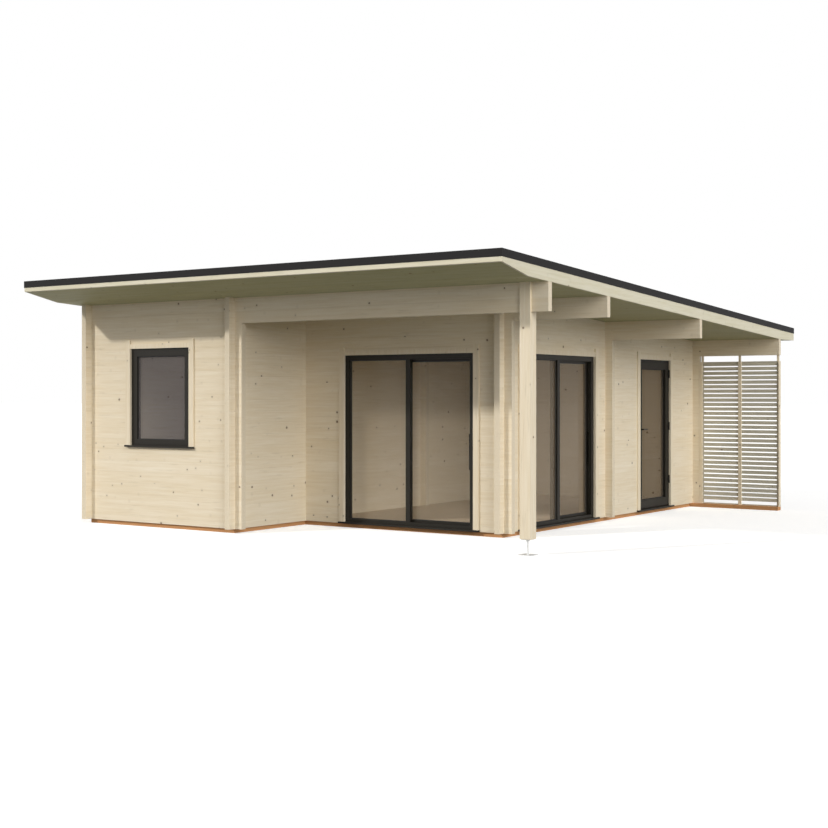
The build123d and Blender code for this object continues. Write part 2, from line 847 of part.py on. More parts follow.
def fixed_pane(plane):
    """Fill the fixed half of a sliding door with its pane, set to the back of the frame."""
    inset = FRAME_SET_BACK + SLIDER_HALF_DEPTH - GLASS_THICKNESS
    left = -SLIDER_WIDTH / 2 + SLIDER_FACE
    with BuildSketch(plane.offset(-inset)) as pane:
        upright_rectangle(left, SLIDER_FACE, leaf_left - left, pane_height)
    extrude(pane.sketch, amount=-GLASS_THICKNESS)


recess_slider_frame = slider_frame(recess_slider_plane)
finish(recess_slider_frame, "recess_slider_frame")
recess_slider_leaf = slider_leaf(recess_slider_plane)
finish(recess_slider_leaf, "recess_slider_leaf")
recess_slider_glass = leaf_glass(recess_slider_plane)
finish(recess_slider_glass, "recess_slider_glass")
side_slider_frame = slider_frame(side_slider_plane)
finish(side_slider_frame, "side_slider_frame")
side_slider_leaf = slider_leaf(side_slider_plane)
finish(side_slider_leaf, "side_slider_leaf")
side_slider_glass = leaf_glass(side_slider_plane)
finish(side_slider_glass, "side_slider_glass")

with BuildPart() as fixed_glass:
    fixed_pane(recess_slider_plane)
    fixed_pane(side_slider_plane)
    with BuildSketch(sash_plane.offset(-(SASH_DEPTH - GLASS_THICKNESS) / 2)):
        upright_rectangle(
            -sash_width / 2 + SASH_FACE,
            SASH_FACE,
            sash_width - 2 * SASH_FACE,
            sash_height - 2 * SASH_FACE,
        )
    extrude(amount=-GLASS_THICKNESS)
finish(fixed_glass, "fixed_glass")

# Hinged side door: frame with a stop behind the leaf
door_face = side_door_plane.offset(-FRAME_SET_BACK)
stop_depth = DOOR_LEAF_THICKNESS + RUNNING_GAP
with BuildPart() as side_door_frame:
    with BuildSketch(door_face):
        ring(SIDE_DOOR_WIDTH, door_height, JAMB_FACE, JAMB_FACE, JAMB_FACE)
    extrude(amount=-DOOR_FRAME_DEPTH)
    with BuildSketch(door_face.offset(-stop_depth)):
        ring(SIDE_DOOR_WIDTH, door_height, JAMB_STOP, JAMB_STOP, JAMB_STOP)
    extrude(amount=stop_depth - DOOR_FRAME_DEPTH)
finish(side_door_frame, "side_door_frame")

door_leaf_width = SIDE_DOOR_WIDTH - 2 * JAMB_FACE - 2 * RUNNING_GAP
door_leaf_height = door_height - 2 * JAMB_FACE - 2 * RUNNING_GAP
door_leaf_plane = Plane(
    origin=door_face.from_local_coords((0, JAMB_FACE + RUNNING_GAP, 0)),
    x_dir=door_face.x_dir,
    z_dir=door_face.z_dir,
)
lever_x = -door_leaf_width / 2 + LEVER_FROM_LEAF_EDGE
rose_depth = DOOR_LEAF_THICKNESS + 2 * ROSE_THICKNESS
with BuildPart() as side_door_leaf:
    with BuildSketch(door_leaf_plane):
        ring(door_leaf_width, door_leaf_height, DOOR_STILE, DOOR_BOTTOM_RAIL, DOOR_TOP_RAIL)
    extrude(amount=-DOOR_LEAF_THICKNESS)
    with BuildSketch(door_leaf_plane.offset(ROSE_THICKNESS)):
        with Locations((lever_x, LEVER_HEIGHT - ROSE_DROP)):
            Rectangle(ROSE_WIDTH, ROSE_HEIGHT)
    extrude(amount=-rose_depth)
    with BuildSketch(door_leaf_plane.offset(ROSE_THICKNESS)):
        with Locations((lever_x, LEVER_HEIGHT)):
            Circle(SPINDLE_RADIUS + SPINDLE_CLEARANCE)
    extrude(amount=-rose_depth, mode=Mode.SUBTRACT)
finish(side_door_leaf, "side_door_leaf")

with BuildPart() as side_door_glass:
    with BuildSketch(door_leaf_plane.offset(-DOOR_GLASS_INSET)):
        upright_rectangle(
            -door_leaf_width / 2 + DOOR_STILE,
            DOOR_BOTTOM_RAIL,
            door_leaf_width - 2 * DOOR_STILE,
            door_leaf_height - DOOR_BOTTOM_RAIL - DOOR_TOP_RAIL,
        )
    extrude(amount=-GLASS_THICKNESS)
finish(side_door_glass, "side_door_glass")

# Lever handles on both faces of the door, on one spindle
with BuildPart() as side_door_lever:
    with BuildSketch(door_leaf_plane.offset(ROSE_THICKNESS + SEAT_GAP)):
        with Locations((lever_x, LEVER_HEIGHT)):
            Circle(SPINDLE_RADIUS)
    extrude(amount=-rose_depth - 2 * SEAT_GAP)
    for offset, outward in (
        (ROSE_THICKNESS + SEAT_GAP, 1),
        (-DOOR_LEAF_THICKNESS - ROSE_THICKNESS - SEAT_GAP, -1),
    ):
        with BuildSketch(door_leaf_plane.offset(offset)):
            with Locations((lever_x, LEVER_HEIGHT)):
                Circle(LEVER_NECK_RADIUS)
        extrude(amount=outward * LEVER_STAND_OFF)
        with BuildSketch(door_leaf_plane.offset(offset + outward * LEVER_STAND_OFF)):
            with Locations((lever_x - LEVER_NECK_RADIUS, LEVER_HEIGHT)):
                Rectangle(LEVER_LENGTH, LEVER_THICKNESS, align=(Align.MIN, Align.CENTER))
        extrude(amount=-outward * LEVER_THICKNESS)
finish(side_door_lever, "side_door_lever")

# Butt hinges: two outer knuckles and the pin stay with the jamb, the middle one turns
hinge_x = SIDE_DOOR_WIDTH / 2 - HINGE_FROM_EDGE
knuckle_height = HINGE_HEIGHT / 3


def knuckle(low, height, radius, mode=Mode.ADD):
    """Build a round part of the hinge, upright on the hinge line."""
    place = door_face.from_local_coords((hinge_x, low, HINGE_PROUD))
    with BuildSketch(Plane(origin=place, z_dir=(0, 0, 1))) as circle:
        Circle(radius)
    extrude(circle.sketch, amount=height, mode=mode)


def flap(low, height, start, end, bottom, top):
    """Build a plate of a hinge between two places across the door and two heights off it."""
    with BuildSketch(door_face.offset(bottom)) as plate:
        upright_rectangle(start, low, end - start, height)
    extrude(plate.sketch, amount=top - bottom)


flap_lift = HINGE_PROUD - HINGE_RADIUS
flap_top = flap_lift + HINGE_FLAP_THICKNESS
with BuildPart() as side_door_hinge_pins:
    for low in HINGE_HEIGHTS:
        for start in (low, low + 2 * knuckle_height):
            knuckle(start, knuckle_height, HINGE_RADIUS)
            flap(start, knuckle_height, hinge_x, SIDE_DOOR_WIDTH / 2, 0, flap_top)
        knuckle(low, HINGE_HEIGHT, HINGE_PIN_RADIUS)
finish(side_door_hinge_pins, "side_door_hinge_pins")

with BuildPart() as side_door_hinge_knuckles:
    for low in HINGE_HEIGHTS:
        start = low + knuckle_height + SEAT_GAP
        height = knuckle_height - 2 * SEAT_GAP
        knuckle(start, height, HINGE_RADIUS)
        flap(start, height, hinge_x - HINGE_FLAP, hinge_x, flap_lift, flap_top)
        flap(start, height, hinge_x - HINGE_FLAP, door_leaf_width / 2, 0, flap_lift)
        knuckle(start, height, HINGE_PIN_RADIUS + HINGE_CLEARANCE, mode=Mode.SUBTRACT)
finish(side_door_hinge_knuckles, "side_door_hinge_knuckles")

# Slatted screen between the back wall's log ends and the end of the back purlin:
# battens in front, slats behind them and posts behind the slats, as thick as a log together
screen_left = recess_end + SCREEN_CLEARANCE
screen_right = beam_end - SCREEN_END_BOARD
slat_front = back_line - HALF_LOG + SCREEN_BATTEN_THICKNESS
rear_post_front = slat_front + SLAT_THICKNESS
rear_post_depth = LOG_THICKNESS - SCREEN_BATTEN_THICKNESS - SLAT_THICKNESS
first_post = screen_left + SCREEN_POST_INSET
last_post = beam_end - SCREEN_POST_INSET
middle_batten = (screen_left + SCREEN_BATTEN_WIDTH + screen_right) / 2
with BuildPart() as screen_posts:
    for middle in (first_post, (first_post + last_post) / 2, last_post):
        with Locations((middle, rear_post_front, SILL_HEIGHT)):
            Box(
                SCREEN_POST_WIDTH,
                rear_post_depth,
                back_purlin_bottom - SILL_HEIGHT,
                align=(Align.CENTER, Align.MIN, Align.MIN),
            )
    for middle in (screen_left + SCREEN_BATTEN_WIDTH / 2, middle_batten):
        with Locations((middle, slat_front, SILL_HEIGHT)):
            Box(
                SCREEN_BATTEN_WIDTH,
                SCREEN_BATTEN_THICKNESS,
                SCREEN_TOP - SILL_HEIGHT,
                align=(Align.CENTER, Align.MAX, Align.MIN),
            )
    with Locations((screen_right, back_line, SILL_HEIGHT)):
        Box(
            SCREEN_END_BOARD,
            LOG_THICKNESS,
            SCREEN_TOP - SILL_HEIGHT,
            align=(Align.MIN, Align.CENTER, Align.MIN),
        )
finish(screen_posts, "screen_posts")

first_slat_top = SCREEN_TOP - TOP_RAIL_HEIGHT - SLAT_GAP
slat_pitch = SLAT_HEIGHT + SLAT_GAP
with BuildPart() as screen_slats:
    with BuildSketch(Plane.XZ.offset(-slat_front)):
        screen_width = screen_right - screen_left
        upright_rectangle(screen_left, SILL_HEIGHT, screen_width, BOTTOM_RAIL_HEIGHT)
        upright_rectangle(
            screen_left,
            SCREEN_TOP - TOP_RAIL_HEIGHT,
            screen_width,
            TOP_RAIL_HEIGHT,
        )
        for number in range(SLAT_COUNT):
            upright_rectangle(
                screen_left,
                first_slat_top - number * slat_pitch - SLAT_HEIGHT,
                screen_width,
                SLAT_HEIGHT,
            )
    extrude(amount=-SLAT_THICKNESS)
finish(screen_slats, "screen_slats")
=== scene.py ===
"""Log summerhouse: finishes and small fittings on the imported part, with a plain studio."""

import logging
import math
from dataclasses import dataclass, field
from enum import Enum
from typing import Iterable, Mapping, Sequence, Union

import bpy
from mathutils import Matrix, Vector


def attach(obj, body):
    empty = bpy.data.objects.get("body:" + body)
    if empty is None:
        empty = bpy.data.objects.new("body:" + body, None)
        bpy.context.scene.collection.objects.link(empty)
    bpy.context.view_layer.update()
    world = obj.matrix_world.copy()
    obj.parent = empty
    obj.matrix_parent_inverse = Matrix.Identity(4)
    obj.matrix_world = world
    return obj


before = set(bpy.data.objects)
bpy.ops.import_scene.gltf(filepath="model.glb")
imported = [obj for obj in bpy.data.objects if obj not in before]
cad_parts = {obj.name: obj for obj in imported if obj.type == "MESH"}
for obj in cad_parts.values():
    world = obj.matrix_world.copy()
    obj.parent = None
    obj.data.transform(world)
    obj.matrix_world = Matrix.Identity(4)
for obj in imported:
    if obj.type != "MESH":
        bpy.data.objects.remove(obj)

LOG = logging.getLogger("summerhouse")
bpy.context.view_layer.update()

Colour = tuple[float, float, float]


def shade(code: str) -> Colour:
    """Turn a colour written as six hex digits into linear light.

    Args:
        code: The colour as it looks on a screen, such as "e8dcc4".

    Returns:
        Red, green and blue from 0 to 1.
    """
    parts = [int(code[place:place + 2], 16) / 255 for place in (0, 2, 4)]
    return tuple(
        part / 12.92 if part <= 0.04045 else ((part + 0.055) / 1.055) ** 2.4 for part in parts
    )


class Signal:
    """A number that varies over a surface, which takes part in sums."""

    def __init__(self, tree: bpy.types.NodeTree, socket: bpy.types.NodeSocket) -> None:
        """Wrap one output socket of a node."""
        self.tree = tree
        self.socket = socket

    def join(self, operation: str, first: "Number", second: "Number" = 0.0) -> "Signal":
        """Add a Math node.

        Args:
            operation: The Math node's operation.
            first: The value of its first socket.
            second: The value of its second socket.

        Returns:
            The node's result.
        """
        node = self.tree.nodes.new("ShaderNodeMath")
        node.operation = operation
        for place, value in enumerate((first, second)):
            if isinstance(value, Signal):
                self.tree.links.new(value.socket, node.inputs[place])
            else:
                node.inputs[place].default_value = value
        return Signal(self.tree, node.outputs[0])

    def __add__(self, other: "Number") -> "Signal":
        """Return self + other."""
        return self.join("ADD", self, other)

    __radd__ = __add__

    def __sub__(self, other: "Number") -> "Signal":
        """Return self - other."""
        return self.join("SUBTRACT", self, other)

    def __rsub__(self, other: "Number") -> "Signal":
        """Return other - self."""
        return self.join("SUBTRACT", other, self)

    def __mul__(self, other: "Number") -> "Signal":
        """Return self * other."""
        return self.join("MULTIPLY", self, other)

    __rmul__ = __mul__

    def __truediv__(self, other: "Number") -> "Signal":
        """Return self / other."""
        return self.join("DIVIDE", self, other)

    def __gt__(self, other: "Number") -> "Signal":
        """Return 1 where self is greater than other, and 0 elsewhere."""
        return self.join("GREATER_THAN", self, other)

    def __lt__(self, other: "Number") -> "Signal":
        """Return 1 where self is less than other, and 0 elsewhere."""
        return self.join("LESS_THAN", self, other)

    def __abs__(self) -> "Signal":
        """Return the size of self without its sign."""
        return self.join("ABSOLUTE", self)

    def floor(self) -> "Signal":
        """Return the whole number below self."""
        return self.join("FLOOR", self)

    def fraction(self) -> "Signal":
        """Return what self has over the whole number below it."""
        return self.join("FRACT", self)

    def root(self) -> "Signal":
        """Return the square root of self."""
        return self.join("SQRT", self)

    def sine(self) -> "Signal":
        """Return the sine of self."""
        return self.join("SINE", self)

    def at_least(self, other: "Number") -> "Signal":
        """Return the greater of self and other."""
        return self.join("MAXIMUM", self, other)

    def at_most(self, other: "Number") -> "Signal":
        """Return the smaller of self and other."""
        return self.join("MINIMUM", self, other)

    def fade(self, near: float, far: float) -> "Signal":
        """Return 1 up to near, falling evenly to 0 at far."""
        return ((far - self) / (far - near)).at_least(0.0).at_most(1.0)


Number = Union[Signal, float]


class Recipe:
    """A node material that is being made up around one Principled shader."""

    def __init__(self, name: str) -> None:
        """Start a material whose place on the object is known in metres.

        Args:
            name: The material's name.
        """
        self.material = bpy.data.materials.new(name)
        self.material.use_nodes = True
        self.tree = self.material.node_tree
        self.shader = self.tree.nodes["Principled BSDF"]
        place = self.node("ShaderNodeTexCoord")
        self.x, self.y, self.z = self.split(place.outputs["Object"])
        self.normal = self.split(place.outputs["Normal"])

    def node(
        self,
        kind: str,
        settings: Mapping[str, object] | None = None,
        sockets: Mapping[str | int, object] | None = None,
    ) -> bpy.types.Node:
        """Add a node of any kind.

        Args:
            kind: The node's type.
            settings: Its settings, which are set first.
            sockets: The values or links of its input sockets.

        Returns:
            The new node.
        """
        node = self.tree.nodes.new(kind)
        for name, value in (settings or {}).items():
            setattr(node, name, value)
        for name, value in (sockets or {}).items():
            self.feed(node.inputs[name], value)
        return node

    def feed(self, socket: bpy.types.NodeSocket, value: object) -> None:
        """Link or set one input socket.

        Args:
            socket: The socket.
            value: A signal, an output socket, a colour or a number.
        """
        if isinstance(value, Signal):
            self.tree.links.new(value.socket, socket)
        elif isinstance(value, bpy.types.NodeSocket):
            self.tree.links.new(value, socket)
        elif socket.type == "RGBA":
            socket.default_value = (*value, 1.0)
        else:
            socket.default_value = value

    def split(self, vector: bpy.types.NodeSocket) -> tuple[Signal, Signal, Signal]:
        """Return the three numbers of a vector."""
        node = self.node("ShaderNodeSeparateXYZ", sockets={0: vector})
        return tuple(Signal(self.tree, output) for output in node.outputs)

    def vector(self, x: Number, y: Number, z: Number) -> bpy.types.NodeSocket:
        """Return a vector made of three numbers."""
        return self.node("ShaderNodeCombineXYZ", sockets={0: x, 1: y, 2: z}).outputs[0]

    def noise(self, vector: bpy.types.NodeSocket, scale: float, detail: float = 2.0) -> Signal:
        """Add smooth noise.

        Args:
            vector: The place.
            scale: How fine the noise is.
            detail: How many finer layers it has.

        Returns:
            A number from 0 to 1.
        """
        node = self.node(
            "ShaderNodeTexNoise",
            sockets={"Vector": vector, "Scale": scale, "Detail": detail},
        )
        return Signal(self.tree, node.outputs["Fac"])

    def chance(self, number: Signal) -> Signal:
        """Draw a number that looks random and is the same for equal numbers.

        Args:
            number: The number that it hangs on.

        Returns:
            A number from 0 to 1.
        """
        node = self.node(
            "ShaderNodeTexWhiteNoise",
            settings={"noise_dimensions": "1D"},
            sockets={"W": number},
        )
        return Signal(self.tree, node.outputs["Value"])

    def cells(self, vector: bpy.types.NodeSocket, scale: float) -> Signal:
        """Return the distance to the nearest of many scattered points."""
        node = self.node("ShaderNodeTexVoronoi", sockets={"Vector": vector, "Scale": scale})
        return Signal(self.tree, node.outputs["Distance"])

    def mix(self, factor: Number, first: object, second: object) -> bpy.types.NodeSocket:
        """Mix two colours.

        Args:
            factor: How much of the second there is, from 0 to 1.
            first: The first colour.
            second: The second colour.

        Returns:
            The colour between them.
        """
        node = self.node(
            "ShaderNodeMix",
            settings={"data_type": "RGBA"},
            sockets={0: factor, 6: first, 7: second},
        )
        return node.outputs[2]

    def bump(self, height: Signal, strength: float = 1.0) -> None:
        """Give the shader a relief.

        Args:
            height: Its height in metres.
            strength: How much of it shows, from 0 to 1.
        """
        node = self.node(
            "ShaderNodeBump",
            sockets={"Height": height, "Strength": strength, "Distance": 1.0},
        )
        self.feed(self.shader.inputs["Normal"], node.outputs["Normal"])

    def set(self, **values: object) -> None:
        """Feed sockets of the shader by their names, with _ for a space."""
        for name, value in values.items():
            self.feed(self.shader.inputs[name.replace("_", " ")], value)


class Run(Enum):
    """The way in which the grain of a timber runs."""

    ALONG_X = 0
    ALONG_Y = 1
    UPRIGHT = 2


@dataclass(frozen=True)
class Timber:
    """Planed softwood with fine grain, small knots and, on logs and boards, joints.

    Attributes:
        name: The material's name.
        run: The way of the grain.
        pale: The colour of the early wood.
        dark: The colour of the late wood.
        knot: The colour of a knot.
        board: The height of a log or the width of a board, or 0 for a single piece.
        first: The place of one joint.
        stack: The axis across which the joints repeat.
        core: The place of the log's middle, for the rings on its ends.
        joint: How dark a joint is.
        joint_depth: How deep a joint is, in metres.
        joint_reach: Where a joint starts to fade and where it is gone, from its middle.
        grain: How fine the grain is, across and along it.
        fibre: How fine the fibres are, across and along them.
        dashes: How fine the dark dashes are, across and along them.
        knots: How many places for a knot there are in a metre.
        knot_reach: Where a knot starts to fade and where it is gone, from its middle.
        halo_reach: The same for the darker wood round it.
        rings: How fine the rings on a log's end are.
    """

    name: str
    run: Run
    pale: Colour = shade("efe4cf")
    dark: Colour = shade("e2d2b4")
    knot: Colour = shade("6b523c")
    board: float = 0.0
    first: float = 0.0
    stack: Run = Run.UPRIGHT
    core: float = 0.0
    joint: float = 0.05
    joint_depth: float = 0.0003
    joint_reach: tuple[float, float] = (0.0006, 0.0032)
    grain: tuple[float, float] = (38.0, 2.0)
    fibre: tuple[float, float] = (240.0, 7.0)
    dashes: tuple[float, float] = (34.0, 3.4)
    knots: float = 6.3
    knot_reach: tuple[float, float] = (0.028, 0.033)
    halo_reach: tuple[float, float] = (0.0285, 0.052)
    rings: float = 900.0

    def darker(self, share: float) -> Colour:
        """Return the late wood's colour with only a share of its light."""
        return tuple(share * part for part in self.dark)

    def drawn(
        self, place: Sequence[Signal], along: Signal, fine: tuple[float, float]
    ) -> list[Signal]:
        """Draw a place out along the grain.

        Args:
            place: The place.
            along: How far along the grain it lies.
            fine: How fine the pattern is, across and along the grain.

        Returns:
            The three numbers of the drawn-out place.
        """
        numbers = [axis * fine[0] for axis in place]
        numbers[self.run.value] = along * fine[1]
        return numbers

    def material(self) -> bpy.types.Material:
        """Make the finish.

        Returns:
            The node material.
        """
        mix = Recipe(self.name)
        place = [mix.x, mix.y, mix.z]
        along = place[self.run.value]
        tone = mix.noise(mix.vector(*place), 0.9)
        joint = 0.0
        if self.board:
            step = (place[self.stack.value] - self.first) / self.board
            number = step.floor()
            part = step.fraction()
            tone = 0.5 * tone + 0.5 * mix.chance(number)
            along = along + 9.0 * mix.chance(number + 0.37)
            gap = part.at_most(1.0 - part) * self.board
            joint = gap.fade(*self.joint_reach)
        grain = mix.noise(mix.vector(*self.drawn(place, along, self.grain)), 1.0, 5.0)
        fibre = mix.noise(mix.vector(*self.drawn(place, along, self.fibre)), 1.0, 3.0)
        scattered = list(place)
        scattered[self.run.value] = along
        wobble = 0.012 * mix.noise(mix.vector(*scattered), 30.0)
        growth = 0.03 * mix.noise(mix.vector(*scattered), 3.5)
        spots = mix.cells(mix.vector(*scattered), self.knots) / self.knots + wobble + growth
        knot = spots.fade(*self.knot_reach)
        halo = spots.fade(*self.halo_reach)
        dashes = self.drawn(place, along, self.dashes)
        dashes[self.run.value] = dashes[self.run.value] + 5.0
        streak = 1.0 - mix.noise(mix.vector(*dashes), 1.0, 4.0).fade(0.6, 0.74)
        blend = (1.5 * grain + 0.5 * fibre + 0.5 * tone - 0.75).at_least(0.0).at_most(1.0)
        colour = mix.mix(blend, self.pale, self.dark)
        colour = mix.mix(0.3 * streak, colour, self.darker(0.74))
        colour = mix.mix(0.3 * halo, colour, self.darker(0.72))
        colour = mix.mix(0.85 * knot, colour, self.knot)
        if self.board:
            ends = abs(mix.normal[self.run.value]) > 0.8
            if self.stack is Run.UPRIGHT:
                side = 1 - self.run.value
                across = (place[side] - self.core) * 1.6
                rise = (part + 0.35) * self.board
                reach = (across * across + rise * rise).root()
                rings = 0.5 + 0.5 * (reach * self.rings + 5.0 * grain).sine()
                end_colour = mix.mix(rings, self.pale, self.darker(0.8))
                colour = mix.mix(ends * 0.75, colour, end_colour)
            colour = mix.mix(joint * self.joint, colour, self.darker(0.22))
        relief = 0.00025 * grain + 0.0001 * fibre - 0.0003 * knot
        if self.board:
            relief = relief - self.joint_depth * joint
        mix.set(Base_Color=colour, Roughness=0.52 + 0.16 * grain, Specular_IOR_Level=0.3)
        mix.bump(relief, 0.6)
        return mix.material


@dataclass(frozen=True)
class TreatedTimber:
    """Orange-brown pressure-treated timber with slightly darker streaks."""

    name: str = "treated_timber"
    light: Colour = shade("dba878")
    deep: Colour = shade("bd8350")

    def material(self) -> bpy.types.Material:
        """Make the finish.

        Returns:
            The node material.
        """
        mix = Recipe(self.name)
        streaks = mix.noise(mix.vector(mix.x * 2.0, mix.y * 2.0, mix.z * 70.0), 1.0, 4.0)
        patches = mix.noise(mix.vector(mix.x, mix.y, mix.z), 2.2)
        colour = mix.mix(0.7 * streaks + 0.3 * patches, self.light, self.deep)
        mix.set(Base_Color=colour, Roughness=0.6 + 0.2 * streaks, Specular_IOR_Level=0.25)
        mix.bump(0.0004 * streaks)
        return mix.material


@dataclass(frozen=True)
class RoofFelt:
    """Black felt with mineral grains, laid in courses that lap down the slope.

    Attributes:
        name: The material's name.
        course: How much of each course shows.
        first: The place of one lap, along Y.
        lap: How far a course stands over the next one.
        edge: Where the dark of a lap starts to fade and where it is gone.
        deep: The darkest colour of the grains.
        worn: The palest colour of the grains.
        shadow: The colour along a lap.
    """

    name: str = "roof_felt"
    course: float = 0.9
    first: float = -4.047
    lap: float = 0.004
    edge: tuple[float, float] = (0.006, 0.016)
    deep: Colour = shade("252426")
    worn: Colour = shade("454345")
    shadow: Colour = shade("121213")

    def material(self) -> bpy.types.Material:
        """Make the finish.

        Returns:
            The node material.
        """
        mix = Recipe(self.name)
        place = mix.vector(mix.x, mix.y, mix.z)
        grains = mix.cells(place, 420.0)
        patches = mix.noise(place, 1.6, 3.0)
        step = (mix.y - self.first) / self.course
        part = step.fraction()
        edge = (part * self.course).fade(*self.edge)
        roll = 0.3 * mix.chance(step.floor())
        colour = mix.mix(0.5 * grains + 0.35 * patches + roll, self.deep, self.worn)
        colour = mix.mix(0.7 * edge, colour, self.shadow)
        mix.set(Base_Color=colour, Roughness=0.9, Specular_IOR_Level=0.25)
        mix.bump(0.0008 * grains + self.lap * part)
        return mix.material


@dataclass(frozen=True)
class CoatedMetal:
    """Sheet metal or a metal profile with a powder coat.

    Attributes:
        name: The material's name.
        coat: The colour of the coat.
        gloss: The roughness of the coat.
        orange_peel: The relief of the coat, in metres.
        seam: The length of a sheet, or 0 for a profile.
        dust: How much light the dust on it adds.
        mirror: The specular level of the coat.
    """

    name: str
    coat: Colour
    gloss: float = 0.42
    orange_peel: float = 0.00004
    seam: float = 0.0
    dust: float = 0.006
    mirror: float = 0.22

    def material(self) -> bpy.types.Material:
        """Make the finish.

        Returns:
            The node material.
        """
        mix = Recipe(self.name)
        place = mix.vector(mix.x, mix.y, mix.z)
        peel = mix.noise(place, 260.0, 2.0)
        dust = mix.noise(place, 2.4, 4.0)
        dusty = tuple(part + self.dust for part in self.coat)
        colour = mix.mix(0.5 * dust, self.coat, dusty)
        relief = self.orange_peel * peel
        if self.seam:
            for axis in (mix.x, mix.y):
                part = (axis / self.seam + 0.31).fraction()
                line = (part.at_most(1.0 - part) * self.seam).fade(0.001, 0.003)
                relief = relief - 0.0008 * line
        mix.set(
            Base_Color=colour,
            Roughness=self.gloss + 0.12 * dust,
            Specular_IOR_Level=self.mirror,
        )
        mix.bump(relief)
        return mix.material


@dataclass(frozen=True)
class TintedGlass:
    """Double glazing with a faint brown tint, whose colour and cover are painted light and
    shade that differ from pane to pane: greyer and darker in the side room's window and darker
    in the panes that look to the right, for how the light and the rooms behind make each pane
    look.

    Attributes:
        name: The material's name.
        tint: The colour of the panes that look to the front.
        side_painted_tint: The painted colour of the panes that look to the right, which stands
            in for the light on them.
        window_painted_tint: The painted colour of the window's pane, which stands in for the
            light on it and the dark room behind it.
        side_edge: Where along X the panes that look to the right begin.
        window_edge: Where along X the window's pane ends.
        cover: How much of what is behind the front panes their tint hides.
        side_painted_cover: The same for the panes that look to the right, set apart from the
            others as painted light.
        window_painted_cover: The same for the window's pane, set apart from the others as
            painted light.
        mirror: The specular level of the panes.
        haze: The least roughness of the panes.
        film: The colour of the thin film on them.
    """

    name: str = "tinted_glass"
    tint: Colour = shade("ead6b6")
    side_painted_tint: Colour = shade("c4ae90")
    window_painted_tint: Colour = shade("9c9391")
    side_edge: float = 1.8
    window_edge: float = -1.3
    cover: float = 0.1
    side_painted_cover: float = 0.17
    window_painted_cover: float = 0.21
    mirror: float = 0.85
    haze: float = 0.02
    film: Colour = shade("8a8078")

    def material(self) -> bpy.types.Material:
        """Make the finish.

        Returns:
            The node material.
        """
        mix = Recipe(self.name)
        film = mix.noise(mix.vector(mix.x, mix.y, mix.z), 1.3, 3.0)
        # Painted light and shade: each pane gets its own tint and cover, which stand in for
        # how bright it looks.
        window = mix.x < self.window_edge
        side = mix.x > self.side_edge
        tint = mix.mix(window, self.tint, self.window_painted_tint)
        tint = mix.mix(side, tint, self.side_painted_tint)
        cover = self.cover + side * (self.side_painted_cover - self.cover)
        cover = cover + window * (self.window_painted_cover - self.cover)
        mix.set(
            Base_Color=mix.mix(0.2 * film, tint, self.film),
            Roughness=self.haze + 0.02 * film,
            Alpha=cover,
            Specular_IOR_Level=self.mirror,
        )
        return mix.material


@dataclass(frozen=True)
class GalvanisedSteel:
    """Zinc-coated steel with its large crystals."""

    name: str = "galvanised_steel"

    def material(self) -> bpy.types.Material:
        """Make the finish.

        Returns:
            The node material.
        """
        mix = Recipe(self.name)
        place = mix.vector(mix.x, mix.y, mix.z)
        crystals = mix.cells(place, 70.0)
        haze = mix.noise(place, 20.0, 3.0)
        colour = mix.mix(0.5 * crystals + 0.5 * haze, shade("f2f2f1"), shade("cfd1d2"))
        mix.set(Base_Color=colour, Roughness=0.38 + 0.25 * crystals, Metallic=0.3)
        mix.bump(0.00005 * crystals)
        return mix.material


@dataclass(frozen=True)
class Rubber:
    """Black glazing rubber."""

    name: str = "glazing_rubber"

    def material(self) -> bpy.types.Material:
        """Make the finish.

        Returns:
            The node material.
        """
        mix = Recipe(self.name)
        bloom = mix.noise(mix.vector(mix.x, mix.y, mix.z), 14.0, 3.0)
        mix.set(
            Base_Color=mix.mix(bloom, shade("1c1c1d"), shade("2c2c2d")),
            Roughness=0.6 + 0.2 * bloom,
        )
        return mix.material


